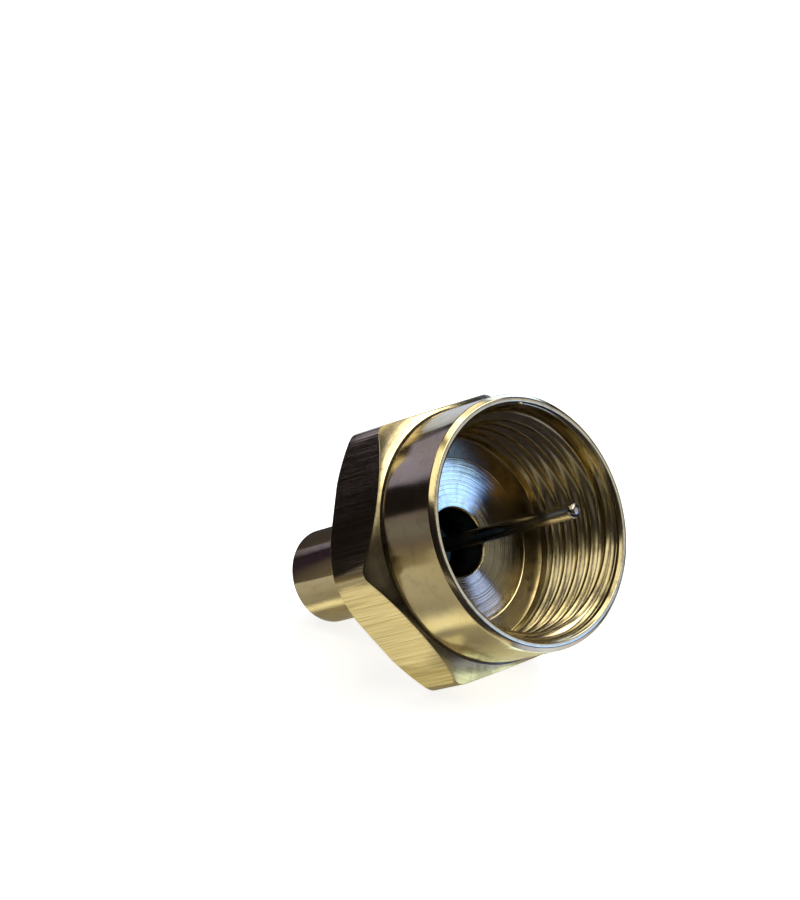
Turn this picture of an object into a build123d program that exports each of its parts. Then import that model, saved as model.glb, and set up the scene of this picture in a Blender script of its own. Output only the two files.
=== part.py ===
from build123d import *
import math
import os

os.makedirs("parts", exist_ok=True)

# Screw-on coaxial terminator, sizes in millimetres.
# Z is up and the origin is on the axis at the rim. The part lies as it comes to rest in the
# photograph, tipped back on the rear edge of one flat and on the end of its tail.
# Stations x count along the axis, out of the socket, and heights are measured from the axis.

# One overrun carries every cut past the face that it opens
overrun = 1.0

# Hexagon bar that the shell is turned from
hex_across_flats = 11.0
hex_corner_radius = 0.6
hex_sides = 6
flat_height = hex_across_flats / 2
bar_corner_reach = flat_height / math.cos(math.pi / hex_sides)

# Turned outside, set in from the flats, except the rear bevel, which only takes the corners
skirt_inset = 0.2
front_bevel_inset = 0.14
rear_bevel_outset = 0.08
front_bevel_angle = 30
rear_bevel_angle = 41
bevel_crown = 0.03
skirt_radius = flat_height - skirt_inset
front_bevel_radius = flat_height - front_bevel_inset
rear_bevel_radius = flat_height + rear_bevel_outset
rim_edge_chamfer = 0.18
tail_edge_chamfer = 0.08
tail_root_fillet = 0.45
skirt_groove_width = 0.2
skirt_groove_depth = 0.1

# Tapped socket, with the thread's own ridges left out
skirt_wall = 0.47
thread_height = 0.45
thread_root_radius = skirt_radius - skirt_wall
tap_drill_radius = thread_root_radius - thread_height
thread_length = 3.75
tap_runout_length = 0.3
socket_end_land = 0.47
floor_step_inset = 0.9
floor_step_depth = 0.1
lead_in_chamfer = 0.12
bore_edge_chamfer = 0.06
floor_step_radius = tap_drill_radius - floor_step_inset

# Film resistor that the shell holds, its front lead being the centre pin
lead_radius = 0.32
pin_reach = 2.62
pin_tip_fillet = 0.22
resistor_setback = 1.95
resistor_length = 6.1
cap_length = 1.5
cap_end_wall = 0.2
cap_side_wall = 0.13
core_radius = 0.86
coat_cover = 0.12
coat_shoulder_length = 0.45
coat_edge_fillet = 0.2
coat_waist_fillet = 0.6
cap_radius = core_radius + cap_side_wall
coat_waist_radius = core_radius + coat_cover
coat_end_radius = cap_radius + coat_cover

# Tail round the resistor, closed by a dome of solder over the rear lead
bore_clearance = 0.33
tail_wall = 0.59
lead_gap = 0.49
solder_plug_length = 0.4
solder_dome_height = 0.97
lead_bury = 0.41
bore_radius = coat_end_radius + bore_clearance
tail_radius = bore_radius + tail_wall
solder_dome_radius = tail_radius - tail_edge_chamfer

# Stations along the axis, counted back from the rim
skirt_length = 3.15
hex_thickness = 2.93
hex_front_x = -skirt_length
hex_rear_x = hex_front_x - hex_thickness
groove_front_x = hex_front_x + skirt_groove_width
thread_end_x = -thread_length
runout_end_x = thread_end_x - tap_runout_length
floor_x = runout_end_x - socket_end_land
floor_step_x = floor_x - floor_step_depth
front_cap_x = floor_x - resistor_setback
rear_cap_x = front_cap_x - resistor_length
core_front_x = front_cap_x - cap_end_wall
core_rear_x = rear_cap_x + cap_end_wall
front_cap_mouth_x = front_cap_x - cap_length
rear_cap_mouth_x = rear_cap_x + cap_length
solder_plug_x = rear_cap_x - lead_gap
tail_end_x = solder_plug_x - solder_plug_length
rear_lead_end_x = tail_end_x - lead_bury
solder_apex_x = tail_end_x - solder_dome_height
dome_sphere_radius = (solder_dome_radius**2 + solder_dome_height**2) / (2 * solder_dome_height)
dome_centre_x = solder_apex_x + dome_sphere_radius
dome_half_angle = math.degrees(math.asin(solder_dome_radius / dome_sphere_radius))

# Tilt at rest, from the rear edge of the lowest flat to the edge of the tail's end
heel_x = hex_rear_x
toe_x = tail_end_x + tail_edge_chamfer
rest_tilt = math.atan2(flat_height - tail_radius, heel_x - toe_x)
axis_direction = (math.cos(rest_tilt), 0, math.sin(rest_tilt))

# The lathe plane holds the axis and a height above it, and the cross plane is square to the axis
turning_axis = Axis((0, 0, 0), axis_direction)
lathe_plane = Plane(origin=(0, 0, 0), x_dir=axis_direction, z_dir=(0, -1, 0))
cross_plane = Plane(origin=(0, 0, 0), x_dir=(0, 1, 0), z_dir=axis_direction)


# Shell, one piece turned from hexagon bar
with BuildPart() as shell:
    with BuildSketch(cross_plane) as bar_section:
        RegularPolygon(radius=flat_height, side_count=hex_sides, major_radius=False)
        fillet(bar_section.vertices(), radius=hex_corner_radius)
    extrude(amount=tail_end_x)

    # The lathe profile: skirt, hexagon with slightly crowned bevels, and slim tail
    front_bevel_drop = (bar_corner_reach - front_bevel_radius) * math.tan(math.radians(front_bevel_angle))
    rear_bevel_drop = (bar_corner_reach - rear_bevel_radius) * math.tan(math.radians(rear_bevel_angle))
    front_bevel_start = (hex_front_x, front_bevel_radius)
    front_bevel_end = (hex_front_x - front_bevel_drop, bar_corner_reach)
    rear_bevel_start = (hex_rear_x + rear_bevel_drop, bar_corner_reach)
    rear_bevel_end = (hex_rear_x, rear_bevel_radius)
    with BuildSketch(lathe_plane) as turned_outside:
        with BuildLine():
            SagittaArc(front_bevel_start, front_bevel_end, -bevel_crown)
            Line(front_bevel_end, rear_bevel_start)
            SagittaArc(rear_bevel_start, rear_bevel_end, -bevel_crown)
            Polyline(
                rear_bevel_end,
                (hex_rear_x, tail_radius),
                (tail_end_x, tail_radius),
                (tail_end_x, 0),
                (0, 0),
                (0, skirt_radius),
                (groove_front_x, skirt_radius),
                (groove_front_x, skirt_radius - skirt_groove_depth),
                (hex_front_x, skirt_radius - skirt_groove_depth),
                front_bevel_start,
            )
        make_face()
    revolve(axis=turning_axis, mode=Mode.INTERSECT)

    # Root of the tail, then the two outer end edges
    tail_edges = shell.edges().filter_by(GeomType.CIRCLE).group_by(SortBy.RADIUS)[0]
    fillet(tail_edges.sort_by(turning_axis)[-1], radius=tail_root_fillet)
    chamfer(shell.faces().sort_by(turning_axis)[0].edges(), length=tail_edge_chamfer)
    chamfer(shell.faces().sort_by(turning_axis)[-1].edges(), length=rim_edge_chamfer)

    # Tapped socket with its run-out, flat floor and through bore
    with BuildSketch(lathe_plane) as socket_and_bore:
        with BuildLine():
            Polyline(
                (overrun, 0),
                (overrun, thread_root_radius),
                (thread_end_x, thread_root_radius),
                (runout_end_x, tap_drill_radius),
                (floor_x, tap_drill_radius),
                (floor_x, floor_step_radius),
                (floor_step_x, floor_step_radius),
                (floor_step_x, bore_radius),
                (tail_end_x - overrun, bore_radius),
                (tail_end_x - overrun, 0),
                close=True,
            )
        make_face()
    revolve(axis=turning_axis, mode=Mode.SUBTRACT)

    # Lead-in at the rim and a broken edge on the floor's hole
    rim_face = shell.faces().filter_by(turning_axis).sort_by(turning_axis)[-1]
    chamfer(rim_face.edges().sort_by(SortBy.LENGTH)[0], length=lead_in_chamfer)
    bore_edges = shell.edges().filter_by(GeomType.CIRCLE).filter_by(
        lambda edge: math.isclose(edge.radius, bore_radius)
    )
    chamfer(bore_edges.sort_by(turning_axis)[-1], length=bore_edge_chamfer)
shell.part.label = "shell"
export_step(shell.part, "parts/shell.step")


# Centre pin, the resistor's front lead, with a rounded tip past the rim
with BuildPart() as centre_pin:
    with BuildSketch(cross_plane.offset(front_cap_x)) as pin_section:
        Circle(lead_radius)
    extrude(amount=pin_reach - front_cap_x)
    fillet(centre_pin.faces().sort_by(turning_axis)[-1].edges(), radius=pin_tip_fillet)
centre_pin.part.label = "centre_pin"
export_step(centre_pin.part, "parts/centre_pin.step")


# Rear lead, which ends inside the solder
with BuildPart() as rear_lead:
    with BuildSketch(cross_plane.offset(rear_cap_x)) as rear_lead_section:
        Circle(lead_radius)
    extrude(amount=rear_lead_end_x - rear_cap_x)
rear_lead.part.label = "rear_lead"
export_step(rear_lead.part, "parts/rear_lead.step")


# Ceramic rod of the resistor
with BuildPart() as resistor_core:
    with BuildSketch(cross_plane.offset(core_rear_x)) as core_section:
        Circle(core_radius)
    extrude(amount=core_front_x - core_rear_x)
resistor_core.part.label = "resistor_core"
export_step(resistor_core.part, "parts/resistor_core.step")


# Pressed end cap on the pin's side, a cup over the end of the rod
with BuildPart() as front_end_cap:
    with BuildSketch(cross_plane.offset(front_cap_x)) as front_cap_outside:
        Circle(cap_radius)
    extrude(amount=-cap_length)
    with BuildSketch(cross_plane.offset(core_front_x)) as front_cap_inside:
        Circle(core_radius)
    extrude(amount=-(cap_length + overrun), mode=Mode.SUBTRACT)
front_end_cap.part.label = "front_end_cap"
export_step(front_end_cap.part, "parts/front_end_cap.step")


# Pressed end cap on the solder's side
with BuildPart() as rear_end_cap:
    with BuildSketch(cross_plane.offset(rear_cap_x)) as rear_cap_outside:
        Circle(cap_radius)
    extrude(amount=cap_length)
    with BuildSketch(cross_plane.offset(core_rear_x)) as rear_cap_inside:
        Circle(core_radius)
    extrude(amount=cap_length + overrun, mode=Mode.SUBTRACT)
rear_end_cap.part.label = "rear_end_cap"
export_step(rear_end_cap.part, "parts/rear_end_cap.step")


# Lacquer coat over rod and caps, thicker at both ends
with BuildPart() as resistor_coat:
    coat_front_x = front_cap_x + coat_cover
    coat_rear_x = rear_cap_x - coat_cover
    waist_front_x = front_cap_mouth_x - coat_shoulder_length
    waist_rear_x = rear_cap_mouth_x + coat_shoulder_length
    with BuildSketch(lathe_plane) as coat_outside:
        with BuildLine():
            Polyline(
                (coat_front_x, 0),
                (coat_front_x, coat_end_radius),
                (front_cap_mouth_x, coat_end_radius),
                (waist_front_x, coat_waist_radius),
                (waist_rear_x, coat_waist_radius),
                (rear_cap_mouth_x, coat_end_radius),
                (coat_rear_x, coat_end_radius),
                (coat_rear_x, 0),
                close=True,
            )
        make_face()
    revolve(axis=turning_axis)
    fillet(resistor_coat.faces().sort_by(turning_axis)[-1].edges(), radius=coat_edge_fillet)
    fillet(resistor_coat.faces().sort_by(turning_axis)[0].edges(), radius=coat_edge_fillet)
    waist_edges = resistor_coat.edges().filter_by(GeomType.CIRCLE).filter_by(
        lambda edge: math.isclose(edge.radius, coat_waist_radius)
    )
    fillet(waist_edges, radius=coat_waist_fillet)
    with BuildSketch(lathe_plane) as coat_inside:
        with BuildLine():
            Polyline(
                (coat_front_x + overrun, 0),
                (coat_front_x + overrun, lead_radius),
                (front_cap_x, lead_radius),
                (front_cap_x, cap_radius),
                (front_cap_mouth_x, cap_radius),
                (front_cap_mouth_x, core_radius),
                (rear_cap_mouth_x, core_radius),
                (rear_cap_mouth_x, cap_radius),
                (rear_cap_x, cap_radius),
                (rear_cap_x, lead_radius),
                (coat_rear_x - overrun, lead_radius),
                (coat_rear_x - overrun, 0),
                close=True,
            )
        make_face()
    revolve(axis=turning_axis, mode=Mode.SUBTRACT)
resistor_coat.part.label = "resistor_coat"
export_step(resistor_coat.part, "parts/resistor_coat.step")


# Solder cap, a plug in the tail's mouth under a shallow dome
with BuildPart() as solder_cap:
    with BuildSketch(lathe_plane) as solder_section:
        with BuildLine():
            CenterArc(
                center=(dome_centre_x, 0),
                radius=dome_sphere_radius,
                start_angle=180 - dome_half_angle,
                arc_size=dome_half_angle,
            )
            Polyline(
                (tail_end_x, solder_dome_radius),
                (tail_end_x, bore_radius),
                (solder_plug_x, bore_radius),
                (solder_plug_x, lead_radius),
                (rear_lead_end_x, lead_radius),
                (rear_lead_end_x, 0),
                (solder_apex_x, 0),
            )
        make_face()
    revolve(axis=turning_axis)
solder_cap.part.label = "solder_cap"
export_step(solder_cap.part, "parts/solder_cap.step")
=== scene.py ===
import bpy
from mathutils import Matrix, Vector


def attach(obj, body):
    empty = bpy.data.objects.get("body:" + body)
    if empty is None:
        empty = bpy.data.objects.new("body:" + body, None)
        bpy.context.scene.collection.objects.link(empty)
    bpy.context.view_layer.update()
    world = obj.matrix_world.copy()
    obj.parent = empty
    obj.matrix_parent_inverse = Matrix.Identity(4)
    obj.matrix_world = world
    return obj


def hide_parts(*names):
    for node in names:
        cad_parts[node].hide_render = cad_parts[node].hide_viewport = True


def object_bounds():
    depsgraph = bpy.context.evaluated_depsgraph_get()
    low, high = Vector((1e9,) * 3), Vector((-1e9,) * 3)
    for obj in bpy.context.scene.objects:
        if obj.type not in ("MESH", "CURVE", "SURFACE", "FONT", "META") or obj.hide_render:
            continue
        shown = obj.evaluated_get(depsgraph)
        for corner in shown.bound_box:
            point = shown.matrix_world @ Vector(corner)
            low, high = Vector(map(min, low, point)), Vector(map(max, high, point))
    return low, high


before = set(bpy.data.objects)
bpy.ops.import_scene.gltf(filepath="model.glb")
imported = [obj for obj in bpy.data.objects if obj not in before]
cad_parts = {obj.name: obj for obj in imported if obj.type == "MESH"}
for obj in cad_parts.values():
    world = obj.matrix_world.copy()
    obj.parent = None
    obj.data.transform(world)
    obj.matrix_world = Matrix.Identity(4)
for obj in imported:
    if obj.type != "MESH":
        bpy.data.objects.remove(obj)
cad_box = [list(corner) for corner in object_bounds()]

import math

import bmesh
import bpy
from mathutils import Matrix, Vector, noise

# Lengths below are in millimetres in the lathe's frame: x along the axis out of the socket,
# y across and z square to both. The part lies tipped back by the tilt of its rest.
MM = 0.001
TAU = 2 * math.pi

# Sizes of the solids, as in the part's source; the socket's floor is hollowed a little
FLAT_HEIGHT = 5.5
HEX_CORNER = 0.602
SKIRT_R = 5.3
FRONT_BEVEL_R = 5.36
REAR_BEVEL_R = 5.58
FRONT_BEVEL_ANGLE = math.radians(30)
REAR_BEVEL_ANGLE = math.radians(41)
BEVEL_CROWN = 0.03
EDGE_BREAK = 0.03
RIM_CHAMFER = 0.18
LEAD_IN = 0.12
GROOVE_DEPTH = 0.1
GROOVE_SLOPE = 0.03
ROOT_R = 4.83
DRILL_R = 4.38
FLOOR_STEP_R = 3.48
FLOOR_STEP_SLOPE = 0.02
BORE_R = 1.44
BORE_CHAMFER = 0.06
TAIL_R = 2.03
TAIL_FILLET = 0.45
TAIL_CHAMFER = 0.08
GROOVE_X = -2.95
HEX_FRONT_X = -3.15
HEX_REAR_X = -6.08
THREAD_END_X = -3.75
RUNOUT_END_X = -4.05
FLOOR_X = -4.52
FLOOR_INNER_X = -4.76
FLOOR_OUTER_X = -4.53
FLOOR_DISH = 0.08
TAIL_END_X = -13.46
SOLDER_PLUG_X = -13.06
SOLDER_APEX_X = -14.43
DOME_R = 1.95
LEAD_R = 0.32
PIN_TIP_X = 2.62
PIN_TIP_FILLET = 0.22
FRONT_CAP_X = -6.47
REAR_LEAD_END_X = -13.87
THREAD_PITCH = 0.794

# The hexagon's rounded corners, which lie at whole sixths of a turn
SIXTH = TAU / 6
CORNER_CENTRE = (FLAT_HEIGHT - HEX_CORNER) / math.cos(SIXTH / 2)
CORNER_REACH = math.atan2(
    HEX_CORNER * math.sin(SIXTH / 2), CORNER_CENTRE + HEX_CORNER * math.cos(SIXTH / 2)
)

# The tilt lays a flat's rear edge and the tail's end edge on the floor
TILT = math.atan2(FLAT_HEIGHT - TAIL_R, HEX_REAR_X - (TAIL_END_X + TAIL_CHAMFER))
LATHE_TO_WORLD = Matrix.Rotation(-TILT, 4, "Y")

# Shares of an edge that a fillet may take up, with and without another fillet at its far end
SHARED_EDGE = 0.48
WHOLE_EDGE = 0.98
MERGE_DISTANCE = 1e-8


# Meshes


def rounded(profile, segments=4):
    """The profile (x, r, fillet, zone) with each filleted corner as an arc; closed."""
    out = []
    count = len(profile)
    for i, (x, r, fillet, zone) in enumerate(profile):
        here = Vector((x, r))
        before = Vector(profile[i - 1][:2]) - here
        after = Vector(profile[(i + 1) % count][:2]) - here
        if fillet <= 0:
            out.append((x, r, zone))
            continue
        to_before, to_after = before.normalized(), after.normalized()
        half = to_before.angle(to_after) / 2
        room_before = before.length * (SHARED_EDGE if profile[i - 1][2] > 0 else WHOLE_EDGE)
        next_fillet = profile[(i + 1) % count][2]
        room_after = after.length * (SHARED_EDGE if next_fillet > 0 else WHOLE_EDGE)
        reach = min(fillet / math.tan(half), room_before, room_after)
        radius = reach * math.tan(half)
        centre = here + (to_before + to_after).normalized() * (radius / math.sin(half))
        start = here + to_before * reach - centre
        sweep = start.angle_signed(here + to_after * reach - centre)
        for k in range(segments + 1):
            turn = -sweep * k / segments
            point = Matrix.Rotation(turn, 2) @ start + centre
            out.append((point.x, point.y, profile[i - 1][3] if k < segments / 2 else zone))
    return out


def on_lathe(x, r, angle):
    """A point of the lathe's frame, in metres."""
    return x * MM, r * math.cos(angle) * MM, r * math.sin(angle) * MM


def lathe_mesh(name, column_at, angles, materials):
    """One closed mesh from profile columns round the axis; a column is [(x, r, zone)]."""
    columns = [column_at(a) for a in angles]
    rows = len(columns[0])
    verts, faces, zones = [], [], []
    for a, column in zip(angles, columns):
        verts += [on_lathe(x, r, a) for x, r, _ in column]
    for i in range(len(angles)):
        nxt = (i + 1) % len(angles)
        for j in range(rows):
            k = (j + 1) % rows
            faces.append((i * rows + j, i * rows + k, nxt * rows + k, nxt * rows + j))
            zones.append(columns[0][j][2])
    return finish_mesh(name, verts, faces, zones, materials)


def finish_mesh(name, verts, faces, zones, materials):
    """The object of a mesh given in the lathe's frame, tipped as it rests."""
    mesh = bpy.data.meshes.new(name)
    mesh.from_pydata(verts, [], faces)
    for material in materials:
        mesh.materials.append(material)
    for polygon, zone in zip(mesh.polygons, zones):
        polygon.material_index = zone
    bm = bmesh.new()
    bm.from_mesh(mesh)
    bmesh.ops.remove_doubles(bm, verts=bm.verts, dist=MERGE_DISTANCE)
    bmesh.ops.dissolve_degenerate(bm, edges=bm.edges, dist=MERGE_DISTANCE)
    bmesh.ops.recalc_face_normals(bm, faces=bm.faces)
    bm.to_mesh(mesh)
    bm.free()
    mesh.transform(LATHE_TO_WORLD)
    mesh.shade_smooth()
    obj = bpy.data.objects.new(name, mesh)
    bpy.context.scene.collection.objects.link(obj)
    smooth = obj.modifiers.new("face_normals", "WEIGHTED_NORMAL")
    smooth.keep_sharp = True
    return obj


def hex_radius(angle):
    """Distance of the rounded hexagon from the axis."""
    off = (angle + SIXTH / 2) % SIXTH - SIXTH / 2
    if abs(off) <= CORNER_REACH:
        return CORNER_CENTRE * math.cos(off) + math.sqrt(
            HEX_CORNER**2 - (CORNER_CENTRE * math.sin(off)) ** 2
        )
    return FLAT_HEIGHT / math.cos(SIXTH / 2 - abs(off))


def hex_angles(corner_steps=8, flat_steps=26):
    """Angles round the axis, closer together over the hexagon's rounded corners."""
    out = []
    for k in range(6):
        for i in range(corner_steps):
            out.append(k * SIXTH - CORNER_REACH + 2 * CORNER_REACH * i / corner_steps)
        for i in range(flat_steps):
            flat = SIXTH - 2 * CORNER_REACH
            out.append(k * SIXTH + CORNER_REACH + flat * i / flat_steps)
    return out


def even_angles(count):
    return [TAU * i / count for i in range(count)]


# Materials


class Nodes:
    """A node material under construction, with a short call for each node."""

    def __init__(self, name):
        self.material = bpy.data.materials.new(name)
        self.material.use_nodes = True
        self.tree = self.material.node_tree
        self.tree.nodes.clear()
        self.out = self.tree.nodes.new("ShaderNodeOutputMaterial")

    def add(self, kind, inputs=None, **settings):
        node = self.tree.nodes.new("ShaderNode" + kind)
        for key, value in settings.items():
            setattr(node, key, value)
        for key, value in (inputs or {}).items():
            if isinstance(value, bpy.types.NodeSocket):
                self.tree.links.new(value, node.inputs[key])
            else:
                node.inputs[key].default_value = value
        return node

    def math(self, operation, *values):
        node = self.add("Math", operation=operation)
        for socket, value in zip(node.inputs, values):
            if isinstance(value, bpy.types.NodeSocket):
                self.tree.links.new(value, socket)
            else:
                socket.default_value = value
        return node.outputs[0]

    def ramp(self, value, low, high, to_low=0.0, to_high=1.0):
        """The value carried from low..high to to_low..to_high, and held at its ends."""
        node = self.add("MapRange", {
            "Value": value, "From Min": low, "From Max": high, "To Min": to_low, "To Max": to_high,
        })
        return node.outputs[0]

    def mix(self, factor, a, b):
        node = self.add("Mix", {"Factor": factor}, data_type="RGBA")
        for socket, value in ((node.inputs[6], a), (node.inputs[7], b)):
            if isinstance(value, bpy.types.NodeSocket):
                self.tree.links.new(value, socket)
            else:
                socket.default_value = (*value, 1.0)
        return node.outputs[2]

    def lathe_coordinates(self):
        """x along the axis, arc round it and radius, in millimetres, and the angle."""
        position = self.add("TexCoord").outputs["Object"]
        level = self.add(
            "VectorRotate", {"Vector": position, "Angle": TILT}, rotation_type="Y_AXIS"
        )
        parts = self.add("SeparateXYZ", {"Vector": level.outputs[0]})
        x, y, z = (self.math("MULTIPLY", part, 1 / MM) for part in parts.outputs)
        angle = self.math("ARCTAN2", y, z)
        squares = [self.math("MULTIPLY", side, side) for side in (y, z)]
        radius = self.math("SQRT", self.math("ADD", *squares))
        return x, self.math("MULTIPLY", angle, FLAT_HEIGHT), radius, angle

    def round_the_axis(self):
        """The direction in which the lathe tool marked the metal, square to the axis."""
        position = self.add("TexCoord").outputs["Object"]
        axis = LATHE_TO_WORLD @ Vector((1.0, 0.0, 0.0))
        cross = self.add("VectorMath", {0: tuple(axis), 1: position}, operation="CROSS_PRODUCT")
        return self.add("VectorMath", {0: cross.outputs[0]}, operation="NORMALIZE").outputs[0]

    def vector(self, x, y, z):
        return self.add("CombineXYZ", {"X": x, "Y": y, "Z": z}).outputs[0]

    def noise(self, vector, scale, detail, roughness=0.55):
        node = self.add(
            "TexNoise",
            {"Vector": vector, "Scale": scale, "Detail": detail, "Roughness": roughness},
        )
        return node.outputs[0]

    def principled(self, **inputs):
        node = self.add("BsdfPrincipled", inputs)
        self.tree.links.new(node.outputs[0], self.out.inputs["Surface"])
        return node

    def bump(self, height, strength, distance_mm):
        inputs = {"Height": height, "Strength": strength, "Distance": distance_mm * MM}
        return self.add("Bump", inputs).outputs[0]

    def grey(self, level):
        return self.add("CombineColor", {0: level, 1: level, 2: level}).outputs[0]


# A quarter turn away from the tangent, which runs round the axis
ACROSS_THE_LINES = 0.25
NICKEL = (0.67, 0.58, 0.38)
NICKEL_WARM = (0.66, 0.55, 0.29)
NICKEL_DARK = (0.30, 0.24, 0.14)


def nickel_turned(name, along, roughness, anisotropy, line_pitch, line_colour,
                  line_depth=0.0015, shade=1.0, stains=0.30, specks_colour=0.5):
    """Nickel plate with lathe marks: lines at steps of x on a cylinder, or of r on a face."""
    n = Nodes(name)
    x, arc, radius, angle = n.lathe_coordinates()
    station = x if along == "x" else radius
    wander = n.math("MULTIPLY", n.math("COSINE", angle), 0.12)
    drift = n.noise(n.vector(x, arc, radius), 0.35, 3.0)
    lines = n.noise(n.vector(n.math("DIVIDE", station, line_pitch), wander, 0.0), 1.0, 4.0, 0.7)
    fine = n.noise(n.vector(n.math("DIVIDE", station, line_pitch * 0.25), wander, 3.0), 1.0, 2.0)
    specks = n.noise(n.vector(x, arc, radius), 6.0, 4.0)
    stain = n.noise(n.vector(x, arc, radius), 1.1, 5.0, 0.65)
    # A shade below 1 is painted shade: the same nickel, with its light, warm and deep tones all
    # made darker
    light = tuple(shade * channel for channel in NICKEL)
    warm = tuple(shade * channel for channel in NICKEL_WARM)
    deep = tuple(shade**2 * channel for channel in NICKEL_DARK)
    colour = n.mix(n.ramp(drift, 0.35, 0.7), light, warm)
    colour = n.mix(n.ramp(specks, 0.63, 0.74, 0.0, specks_colour), colour, deep)
    colour = n.mix(n.ramp(stain, 0.50, 0.66, 0.0, stains), colour, deep)
    colour = n.mix(n.ramp(lines, 0.54, 0.70, 0.0, line_colour), colour, deep)
    wear = n.math("ADD", drift, n.math("MULTIPLY", lines, 0.5))
    rough = n.ramp(wear, 0.5, 1.1, roughness * 0.75, roughness * 1.3)
    height = n.math("MULTIPLY", n.math("ADD", lines, n.math("MULTIPLY", fine, 0.3)), line_depth)
    shader = n.principled(**{"Base Color": colour, "Roughness": rough, "Metallic": 1.0,
                             "Anisotropic": anisotropy,
                             "Anisotropic Rotation": ACROSS_THE_LINES,
                             "Normal": n.bump(height, 1.0, 1.0)})
    n.tree.links.new(n.round_the_axis(), shader.inputs["Tangent"])
    return n.material


def nickel_flat(name):
    """Nickel plate over drawn bar, with fine streaks along the axis."""
    n = Nodes(name)
    x, arc, _, _ = n.lathe_coordinates()
    long_x, tight_arc = n.math("MULTIPLY", x, 0.08), n.math("MULTIPLY", arc, 5.0)
    streak = n.noise(n.vector(long_x, tight_arc, 0.0), 1.0, 5.0, 0.7)
    fine_x, fine_arc = n.math("MULTIPLY", x, 0.22), n.math("MULTIPLY", arc, 20.0)
    fine = n.noise(n.vector(fine_x, fine_arc, 5.0), 1.0, 3.0)
    drift = n.noise(n.vector(x, arc, 0.0), 0.4, 3.0)
    colour = n.mix(n.ramp(streak, 0.3, 0.75), NICKEL_WARM, NICKEL)
    colour = n.mix(n.ramp(streak, 0.36, 0.56, 0.45, 0.0), colour, NICKEL_DARK)
    colour = n.mix(n.ramp(fine, 0.46, 0.66, 0.0, 0.75), colour, NICKEL_DARK)
    rough = n.ramp(n.math("ADD", streak, drift), 0.7, 1.3, 0.11, 0.20)
    height = n.math("ADD", streak, n.math("MULTIPLY", fine, 0.5))
    shader = n.principled(**{"Base Color": colour, "Roughness": rough, "Metallic": 1.0,
                             "Anisotropic": 0.4, "Normal": n.bump(height, 0.35, 0.02)})
    n.tree.links.new(n.round_the_axis(), shader.inputs["Tangent"])
    return n.material


def plain_metal(name, colour, deep, roughness, scale):
    """A plain plated or cast metal with a soft cloudy change of colour and gloss."""
    n = Nodes(name)
    position = n.add("TexCoord").outputs["Object"]
    cloud = n.noise(position, scale / MM, 4.0)
    grain = n.noise(position, scale * 9 / MM, 2.0)
    tint = n.mix(n.ramp(cloud, 0.3, 0.75), colour, deep)
    rough = n.ramp(grain, 0.3, 0.8, roughness * 0.7, roughness * 1.4)
    n.principled(**{"Base Color": tint, "Roughness": rough, "Metallic": 1.0,
                    "Normal": n.bump(cloud, 0.2, 0.01)})
    return n.material


def coated(name, colour, deep, roughness, scale):
    """Ceramic or lacquer: a dull body colour with mottling and a faint orange peel."""
    n = Nodes(name)
    position = n.add("TexCoord").outputs["Object"]
    cloud = n.noise(position, scale / MM, 4.0)
    peel = n.noise(position, scale * 5 / MM, 2.0)
    tint = n.mix(n.ramp(cloud, 0.3, 0.75), colour, deep)
    rough = n.ramp(peel, 0.3, 0.8, roughness * 0.8, roughness * 1.2)
    n.principled(**{"Base Color": tint, "Roughness": rough,
                    "Normal": n.bump(peel, 0.15, 0.01)})
    return n.material


skirt_nickel = nickel_turned(
    "nickel_skirt", "x", roughness=0.17, anisotropy=0.35, line_pitch=0.10, line_colour=0.12)
# Painted shade: the bevels' nickel at shade 0.60, darkened so that they mirror less light
bevel_nickel = nickel_turned(
    "nickel_bevel", "r", roughness=0.22, anisotropy=0.3, line_pitch=0.14, line_colour=0.35,
    line_depth=0.003, shade=0.60, stains=0.50, specks_colour=0.2)
rim_nickel = nickel_turned(
    "nickel_rim", "r", roughness=0.22, anisotropy=0.2, line_pitch=0.09, line_colour=0.25,
    line_depth=0.002, stains=0.5)
face_nickel = nickel_turned(
    "nickel_floor", "r", roughness=0.10, anisotropy=0.3, line_pitch=0.18, line_colour=0.65,
    line_depth=0.010)
# Painted shade: the annulus at the foot of the socket wall, darkened to shade 0.62
step_nickel = nickel_turned(
    "nickel_floor_step", "r", roughness=0.22, anisotropy=0.3, line_pitch=0.12, line_colour=0.3,
    shade=0.62, stains=0.5)
rear_nickel = nickel_turned(
    "nickel_rear_face", "r", roughness=0.15, anisotropy=0.3, line_pitch=0.12, line_colour=0.10)
tail_nickel = nickel_turned(
    "nickel_tail", "x", roughness=0.13, anisotropy=0.3, line_pitch=0.15, line_colour=0.08)
# Painted shade: the thread's nickel darkened to shade 0.84 inside the socket's recess
thread_nickel = nickel_turned(
    "nickel_thread", "x", roughness=0.21, anisotropy=0.2, line_pitch=0.16, line_colour=0.15,
    line_depth=0.0008, shade=0.84, stains=0.30, specks_colour=0.1)
flat_nickel = nickel_flat("nickel_flats")
# Painted shade: the bore and the groove between skirt and hexagon get a dark brown metal in place
# of their shade
recess_painted_shade = plain_metal("bore_and_groove_painted_shade", (0.16, 0.13, 0.09), (0.08, 0.06, 0.05), 0.35, 0.9)
SKIRT, FLATS, REAR, TAIL, FLOOR, WALL, BEVEL, RIM, BORE, STEP = range(10)
SHELL_MATERIALS = [
    skirt_nickel, flat_nickel, rear_nickel, tail_nickel, face_nickel, thread_nickel,
    bevel_nickel, rim_nickel, recess_painted_shade, step_nickel,
]


# Pieces


def bevel_setback(radius, start_radius, angle):
    """How far a crowned bevel has fallen back from its end face at a radius."""
    if radius <= start_radius:
        return 0.0
    full = FLAT_HEIGHT / math.cos(SIXTH / 2) - start_radius
    share = (radius - start_radius) / full
    bulge = 4 * BEVEL_CROWN * share * (1 - share)
    return (radius - start_radius) * math.tan(angle) - bulge / math.cos(angle)


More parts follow.
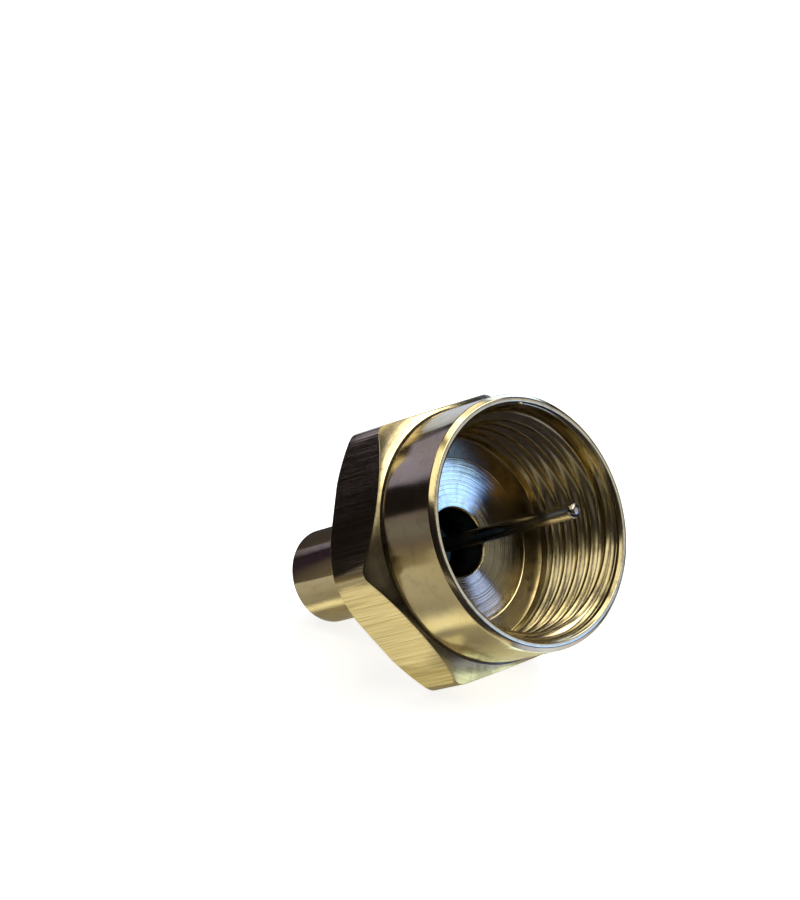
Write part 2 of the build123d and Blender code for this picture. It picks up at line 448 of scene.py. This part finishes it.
def shell_column(angle):
    """The shell's profile as (x, r) at an angle; only the hexagon's part changes round it."""
    corner = hex_radius(angle)
    front_half = (corner + FRONT_BEVEL_R) / 2
    front_half_x = HEX_FRONT_X - bevel_setback(front_half, FRONT_BEVEL_R, FRONT_BEVEL_ANGLE)
    front_x = HEX_FRONT_X - bevel_setback(corner, FRONT_BEVEL_R, FRONT_BEVEL_ANGLE)
    rear_x = HEX_REAR_X + max(bevel_setback(corner, REAR_BEVEL_R, REAR_BEVEL_ANGLE), EDGE_BREAK)
    rear_r = min(REAR_BEVEL_R, corner - EDGE_BREAK)
    rear_half = (corner + rear_r) / 2
    rear_half_x = HEX_REAR_X + max(
        bevel_setback(rear_half, REAR_BEVEL_R, REAR_BEVEL_ANGLE), EDGE_BREAK / 2
    )
    groove_r = SKIRT_R - GROOVE_DEPTH
    return rounded([
        (0, SKIRT_R - RIM_CHAMFER, 0.08, SKIRT),
        (-RIM_CHAMFER, SKIRT_R, 0.06, SKIRT),
        (GROOVE_X, SKIRT_R, 0.03, SKIRT),
        (GROOVE_X - GROOVE_SLOPE, groove_r, 0.03, SKIRT),
        # The groove's wall on the hexagon's side takes the bore's painted shade
        (HEX_FRONT_X, groove_r, 0.03, BORE),
        (HEX_FRONT_X, FRONT_BEVEL_R, 0.02, BEVEL),
        (front_half_x, front_half, 0.0, BEVEL),
        (front_x, corner, 0.06, FLATS),
        (rear_x, corner, 0.05, REAR),
        (rear_half_x, rear_half, 0.0, REAR),
        (HEX_REAR_X, rear_r, 0.03, REAR),
        (HEX_REAR_X, TAIL_R, TAIL_FILLET, TAIL),
        (TAIL_END_X + TAIL_CHAMFER, TAIL_R, 0.05, TAIL),
        (TAIL_END_X, TAIL_R - TAIL_CHAMFER, 0.03, TAIL),
        (TAIL_END_X, BORE_R, 0.0, BORE),
        (FLOOR_INNER_X - BORE_CHAMFER, BORE_R, 0.02, WALL),
        (FLOOR_INNER_X, BORE_R + BORE_CHAMFER, 0.02, FLOOR),
        (FLOOR_OUTER_X, FLOOR_STEP_R, 0.01, WALL),
        (FLOOR_X, FLOOR_STEP_R + FLOOR_STEP_SLOPE, 0.01, STEP),
        (FLOOR_X + FLOOR_DISH, DRILL_R, 0.04, WALL),
        (RUNOUT_END_X, DRILL_R, 0.04, WALL),
        (THREAD_END_X, ROOT_R, 0.04, WALL),
        (-LEAD_IN, ROOT_R, 0.04, WALL),
        (0, ROOT_R + LEAD_IN, 0.06, RIM),
    ])


shell = lathe_mesh("shell_turned", shell_column, hex_angles(), SHELL_MATERIALS)
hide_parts("shell")
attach(shell, "root")


def thread_mesh(name, materials):
    """The socket's thread, one right-hand ridge wound inside the wall."""
    first_x, last_x = -0.43, -4.25
    start_angle = math.radians(75)
    steps_per_turn = 160
    run_in_turns, run_out_turns = 0.4, 0.25
    turns = (first_x - last_x) / THREAD_PITCH
    steps = int(turns * steps_per_turn)
    half = THREAD_PITCH / 2
    foot_r = ROOT_R - 0.008
    ridge_height = ROOT_R - 0.028 - DRILL_R
    backing_r = ROOT_R + 0.1
    crest, flank = 0.07, 0.27
    section = [
        (half, 0.0), (crest + flank, 0.0), (crest + flank * 0.5, 0.5), (crest + 0.03, 0.93),
        (crest - 0.02, 1.0), (-crest + 0.02, 1.0), (-crest - 0.03, 0.93),
        (-crest - flank * 0.5, 0.5), (-crest - flank, 0.0), (-half, 0.0),
    ]
    verts, faces = [], []
    count = len(section) + 2
    for i in range(steps + 1):
        share = i / steps_per_turn
        angle = start_angle - TAU * share
        centre = first_x - THREAD_PITCH * share
        run_in = i / (steps_per_turn * run_in_turns)
        run_out = (steps - i) / (steps_per_turn * run_out_turns)
        rise = min(1.0, run_in, run_out)
        rise = rise * rise * (3 - 2 * rise)
        ring = [(centre + u, foot_r - ridge_height * h * rise) for u, h in section]
        ring += [(centre - half, backing_r), (centre + half, backing_r)]
        verts += [on_lathe(x, r, angle) for x, r in ring]
    for i in range(steps):
        here, beyond = i * count, (i + 1) * count
        for j in range(count):
            k = (j + 1) % count
            faces.append((here + j, here + k, beyond + k, beyond + j))
    faces.append(tuple(range(count)))
    faces.append(tuple(steps * count + j for j in range(count)))
    return finish_mesh(name, verts, faces, [0] * len(faces), materials)


thread = thread_mesh("socket_thread", [thread_nickel])
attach(thread, "root")

tin = plain_metal("tinned_lead", (0.60, 0.57, 0.50), (0.45, 0.42, 0.34), 0.22, 0.8)
solder_bright = plain_metal("solder_bright", (0.75, 0.73, 0.68), (0.60, 0.58, 0.52), 0.22, 0.7)
# Painted shade: the front end cap, behind the hole in the socket's floor, is made far darker than
# the rear one
front_cap_painted_shade = plain_metal("front_cap_painted_shade", (0.10, 0.08, 0.07), (0.05, 0.04, 0.04), 0.45, 0.6)
cap_steel = plain_metal("cap_steel", (0.56, 0.55, 0.52), (0.42, 0.41, 0.38), 0.30, 0.6)
ceramic = coated("ceramic_rod", (0.80, 0.77, 0.70), (0.70, 0.66, 0.58), 0.55, 0.9)
lacquer = coated("blue_lacquer", (0.05, 0.13, 0.22), (0.03, 0.09, 0.16), 0.3, 0.7)


def wire_metal(name):
    """The tin of the pin, with painted shade darkening it towards its root inside the bore, where
    it is also rougher.
    """
    root_x = -4.4
    n = Nodes(name)
    x, arc, radius, angle = n.lathe_coordinates()
    cloud = n.noise(n.vector(x, arc, radius), 0.8, 4.0)
    long_x, tight_angle = n.math("MULTIPLY", x, 0.3), n.math("MULTIPLY", angle, 6.0)
    drawn = n.noise(n.vector(long_x, tight_angle, 0.0), 1.0, 3.0)
    tint = n.mix(n.ramp(cloud, 0.3, 0.75), (0.46, 0.42, 0.34), (0.28, 0.24, 0.18))
    # Painted shade: the tin turns near black towards the root, inside the bore
    tint = n.mix(n.ramp(x, root_x, -1.8, 0.88, 0.0), tint, (0.025, 0.02, 0.016))
    dulled = n.ramp(x, root_x, -2.6, 0.4, 0.0)
    rough = n.math("ADD", n.ramp(drawn, 0.3, 0.8, 0.13, 0.26), dulled)
    n.principled(**{"Base Color": tint, "Roughness": rough, "Metallic": 1.0,
                    "Normal": n.bump(drawn, 0.2, 0.005)})
    return n.material


pin_tin = wire_metal("tinned_pin")


def pin_column(_angle):
    return rounded([
        (PIN_TIP_X, 0.0, 0.0, 0),
        (PIN_TIP_X, LEAD_R, PIN_TIP_FILLET, 0),
        (FRONT_CAP_X, LEAD_R, 0.0, 0),
        (FRONT_CAP_X, 0.0, 0.0, 0),
    ], segments=8)


pin = lathe_mesh("pin_drawn_wire", pin_column, even_angles(48), [pin_tin])
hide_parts("centre_pin")
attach(pin, "root")


def solder_column(angle):
    """The solder's profile as (x, r): a plug in the bore and a dome that has set unevenly."""
    steps = 24
    deepest, spread, seed = 0.05, 0.9, 4.0
    rise = DOME_R**2 + (TAIL_END_X - SOLDER_APEX_X) ** 2
    sphere = rise / (2 * (TAIL_END_X - SOLDER_APEX_X))
    rows = [(SOLDER_PLUG_X, LEAD_R, 0), (SOLDER_PLUG_X, BORE_R, 0), (TAIL_END_X, BORE_R, 0)]
    for k in range(steps + 1):
        r = DOME_R * (1 - k / steps)
        x = SOLDER_APEX_X + sphere - math.sqrt(sphere**2 - r**2)
        spot = Vector((r * math.cos(angle), r * math.sin(angle), seed))
        uneven = 0.5 + 0.5 * noise.noise(spot * spread)
        settle = deepest * uneven * math.sin(math.pi * k / steps) ** 0.5
        rows.append((x + settle, r, 0))
    rows.append((REAR_LEAD_END_X, 0.0, 0))
    rows.append((REAR_LEAD_END_X, LEAD_R, 0))
    return rows


solder = lathe_mesh("solder_dome", solder_column, even_angles(96), [solder_bright])
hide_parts("solder_cap")
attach(solder, "root")


def dress(node, material):
    """Gives a CAD node, kept as it is, a finish of its own."""
    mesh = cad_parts[node].data
    mesh.materials.clear()
    mesh.materials.append(material)


dress("rear_lead", tin)
dress("resistor_core", ceramic)
dress("front_end_cap", front_cap_painted_shade)
dress("rear_end_cap", cap_steel)
dress("resistor_coat", lacquer)


# Floor, light and camera

floor_z = cad_box[0][2]
low = floor_z / MM
reach = 3.0
# Painted reflection: the metal sees the floor darker than the camera does, with a warm glowing
# sheen and a gloss that only its reflections show
DIFFUSE_SEEN, DIFFUSE_MIRRORED = 0.85, 0.36
CAMERA_GLOW = 0.80
MIRRORED_SHEEN = 0.21
MIRRORED_GLOSS = 0.35
GLOSS_ROUGHNESS = 0.16
floor_mesh = bpy.data.meshes.new("floor")
floor_corners = ((-reach, -reach), (reach, -reach), (reach, reach), (-reach, reach))
floor_mesh.from_pydata([(x, y, floor_z) for x, y in floor_corners], [], [(0, 1, 2, 3)])
floor = bpy.data.objects.new("floor", floor_mesh)
bpy.context.scene.collection.objects.link(floor)
paper = Nodes("pale_paper")
rays = paper.add("LightPath").outputs
mirrored = paper.math("MAXIMUM", rays["Is Glossy Ray"], rays["Is Transmission Ray"])
body_level = paper.ramp(mirrored, 0.0, 1.0, DIFFUSE_SEEN, DIFFUSE_MIRRORED)
body = paper.add("BsdfDiffuse", {"Color": paper.grey(body_level)})
glow = paper.add("Emission", {
    "Color": (1.0, 1.0, 1.0, 1.0),
    "Strength": paper.math("MULTIPLY", rays["Is Camera Ray"], CAMERA_GLOW),
})
sheen = paper.add("Emission", {
    "Color": (1.0, 0.93, 0.70, 1.0),
    "Strength": paper.math("MULTIPLY", mirrored, MIRRORED_SHEEN),
})
gloss_level = paper.math("MULTIPLY", mirrored, MIRRORED_GLOSS)
gloss = paper.add("BsdfAnisotropic", {
    "Color": paper.grey(gloss_level), "Roughness": GLOSS_ROUGHNESS,
})
both = paper.add("AddShader", {0: glow.outputs[0], 1: sheen.outputs[0]})
shine = paper.add("AddShader", {0: both.outputs[0], 1: gloss.outputs[0]})
total = paper.add("AddShader", {0: body.outputs[0], 1: shine.outputs[0]})
paper.tree.links.new(total.outputs[0], paper.out.inputs["Surface"])
floor_mesh.materials.append(paper.material)

world = bpy.data.worlds.new("studio")
bpy.context.scene.world = world
world.use_nodes = True
background = world.node_tree.nodes["Background"]
background.inputs["Color"].default_value = (0.013, 0.010, 0.012, 1.0)
background.inputs["Strength"].default_value = 1.0

LAMP_DISTANCE = 0.30
LAMP_AIM = Vector((-0.005, 0, 0))


def softbox(name, azimuth, elevation, width, height, radiance, colour):
    """A lamp that faces the object; azimuth 0 is +X and 90 is +Y, as seen from above."""
    lamp = bpy.data.lights.new(name, "AREA")
    lamp.shape = "RECTANGLE"
    lamp.size, lamp.size_y = width, height
    lamp.energy = radiance * math.pi * width * height
    lamp.color = colour
    obj = bpy.data.objects.new(name, lamp)
    bpy.context.scene.collection.objects.link(obj)
    a, e = math.radians(azimuth), math.radians(elevation)
    out = Vector((math.cos(a) * math.cos(e), math.sin(a) * math.cos(e), math.sin(e)))
    obj.location = LAMP_AIM + out * LAMP_DISTANCE
    obj.rotation_mode = "QUATERNION"
    obj.rotation_quaternion = out.to_track_quat("Z", "Y")


# Name, azimuth, elevation, width, height, radiance and colour
LAMPS = [
    ("window_low", 38, 6, 0.095, 0.056, 4.6, (0.21, 0.41, 1.0)),
    ("window_edge", 25, 6, 0.042, 0.056, 2.8, (0.10, 0.27, 1.0)),
    ("window_bar", 42, 16.5, 0.095, 0.048, 1.15, (0.88, 0.90, 1.0)),
    ("window_high", 46, 33, 0.046, 0.056, 3.2, (0.26, 0.38, 1.0)),
    ("window_dim", 31, 30, 0.075, 0.085, 0.22, (0.90, 0.95, 1.0)),
    ("overhead", 46, 55.5, 0.27, 0.085, 7.4, (1.0, 0.95, 0.80)),
    ("skylight", -6, 50, 0.14, 0.10, 1.6, (1.0, 0.95, 0.80)),
    ("ceiling", -66, 66, 0.12, 0.20, 1.8, (1.0, 0.95, 0.78)),
    ("zenith", 100, 80, 0.10, 0.10, 3.0, (1.0, 0.93, 0.72)),
    ("rim_top", 113, 29, 0.06, 0.18, 3.4, (0.52, 0.66, 1.0)),
    ("crest", 120, 62, 0.065, 0.14, 1.8, (1.0, 0.95, 0.78)),
    ("side", 180, 18.5, 0.18, 0.065, 0.6, (0.62, 0.60, 1.0)),
    ("key", -149, 60, 0.065, 0.065, 3.5, (1.0, 0.94, 0.62)),
    ("front_dim", -21, 20, 0.095, 0.095, 0.16, (0.9, 0.85, 0.8)),
]
for lamp_row in LAMPS:
    softbox(*lamp_row)


def upright(azimuth, distance, outline):
    """Corners of an upright card; its outline is (side, height) in its own plane."""
    a = math.radians(azimuth)
    out = Vector((math.cos(a), math.sin(a), 0))
    across = Vector((-math.sin(a), math.cos(a), 0))
    return [out * distance + across * side + Vector((0, 0, height)) for side, height in outline]


def flat_on_floor(outline, above=0.02):
    """Corners of a card that lies just above the floor; its outline is (x, y)."""
    return [(x, y, low + above) for x, y in outline]


def card(name, corners, shades, along=2):
    """A glowing card that only the metal mirrors, a painted reflection; shades are (place along x,
    y or z in mm, colour).
    """
    mesh = bpy.data.meshes.new(name)
    mesh.from_pydata([tuple(Vector(c) * MM) for c in corners], [], [tuple(range(len(corners)))])
    paint = Nodes(name + "_shade")
    place = paint.math("MULTIPLY", paint.add("SeparateXYZ", {
        "Vector": paint.add("TexCoord").outputs["Object"]}).outputs[along], 1 / MM)
    colour = shades[0][1]
    for (z0, _), (z1, upper) in zip(shades, shades[1:]):
        colour = paint.mix(paint.ramp(place, z0, z1), colour, upper)
    glow = paint.add("Emission", {"Color": colour, "Strength": 1.0})
    paint.tree.links.new(glow.outputs[0], paint.out.inputs["Surface"])
    mesh.materials.append(paint.material)
    obj = bpy.data.objects.new(name, mesh)
    bpy.context.scene.collection.objects.link(obj)
    obj.visible_camera = False
    obj.visible_shadow = False
    obj.visible_diffuse = False


# Azimuth and distance of the three painted-reflection cards that the near side of the shell
# mirrors
NEAR_SIDE = (-150, 18.0)
BLACK = (0.012, 0.010, 0.012)
skirt_outline = [(2.4, low), (9.5, low), (9.5, 2.6), (4.2, 2.6), (2.4, 0.9)]
card("skirt_card", upright(*NEAR_SIDE, skirt_outline),
     [(low, (0.33, 0.28, 0.18)), (-6.3, (0.28, 0.24, 0.15)), (-2.8, (0.16, 0.13, 0.13)),
      (-0.8, (0.20, 0.20, 0.20)), (1.6, (0.21, 0.18, 0.20)), (2.6, (0.04, 0.03, 0.04))])
card("flat_card", upright(*NEAR_SIDE, [(-1.7, low), (2.4, low), (2.4, 5.0), (-1.7, 5.0)]),
     [(low, (0.25, 0.22, 0.15)), (-4.5, (0.14, 0.12, 0.09)), (-1.2, BLACK)])
card("tail_card", upright(*NEAR_SIDE, [(-6.4, low), (-1.7, low), (-1.7, 0.0), (-6.4, 0.0)]),
     [(-7.6, (0.16, 0.14, 0.10)), (-6.1, (0.10, 0.085, 0.08)), (-5.0, (0.03, 0.02, 0.045))],
     along=1)
# Painted dark reflection on the tail, standing in for a neighbour beside it
card("neighbour_card", upright(165, 17.0, [(-6, low), (6, low), (6, 0.5), (-6, 0.5)]),
     [(low, (0.03, 0.025, 0.03)), (0.5, (0.08, 0.07, 0.07))])
card("back_card", upright(148, 34.0, [(-8, low), (8, low), (8, 9.5), (-8, 9.5)]),
     [(low, (0.62, 0.68, 0.88)), (9.5, (0.76, 0.83, 1.02))])
# Painted dark reflection of the floor to the right of the socket, for the thread
dark_outline = [(6, -3.6), (10, -60), (60, -60), (60, 60), (-10, 60), (-2, 14)]
card("dark_reflection_card", flat_on_floor(dark_outline),
     [(-60.0, (0.03, 0.025, 0.03)), (60.0, (0.05, 0.045, 0.05))], along=1)
# Painted bluish reflection, lying on the floor before the socket's mouth
mouth_outline = [(3.5, -2.8), (5.8, -2.8), (5.8, 7.0), (1.5, 7.0), (2.3, 1.5)]
card("mouth_floor", flat_on_floor(mouth_outline, above=0.04),
     [(-2.8, (0.24, 0.24, 0.30)), (-1.8, (0.60, 0.66, 1.00)), (0.5, (0.92, 1.04, 1.50)),
      (3.8, (0.72, 0.76, 1.05)), (7.0, (0.30, 0.30, 0.36))], along=1)
# Painted reflection for the skirt's underside
card("skirt_floor", flat_on_floor([(-2.6, -2.4), (0.2, -2.4), (0.2, 1.5), (-2.6, 1.5)]),
     [(-2.4, (0.43, 0.40, 0.24)), (-0.3, (0.68, 0.64, 0.40))], along=1)
# Painted highlight, glowing brighter than white, for the lower front bevel
card("bevel_floor", flat_on_floor([(0.2, -3.0), (3.4, -3.0), (2.3, 1.5), (0.2, 1.5)]),
     [(1.9, (2.0, 2.45, 2.30)), (2.7, (0.30, 0.32, 0.26))], along=0)
# Painted reflection for the lower end of a hexagon flat
card("side_floor", flat_on_floor([(-9, -4.6), (-1.6, -4.3), (-1.6, -3.3), (-9, -3.3)]),
     [(-4.6, (0.80, 0.74, 0.45)), (-3.3, (0.80, 0.74, 0.45))], along=1)

camera_data = bpy.data.cameras.new("camera")
camera = bpy.data.objects.new("camera", camera_data)
bpy.context.scene.collection.objects.link(camera)
bpy.context.scene.camera = camera
camera_data.sensor_fit = "HORIZONTAL"
camera_data.sensor_width = 36.0
camera_data.lens = 141.3
camera_data.clip_start = 0.001
camera_data.clip_end = 100.0
# The camera that was fitted to the photograph: its axes and its place, in millimetres
right, down, ahead = (
    (0.6952, 0.7188, 0.0003), (0.2361, -0.2279, -0.9446), (-0.6789, 0.6568, -0.3282)
)
turn = Matrix((right, [-v for v in down], [-v for v in ahead])).transposed().to_quaternion()
camera.rotation_mode = "QUATERNION"
camera.rotation_quaternion = turn.normalized()
camera.location = Vector((81.36, -86.14, 44.17)) * MM

bpy.context.scene.view_settings.view_transform = "Standard"
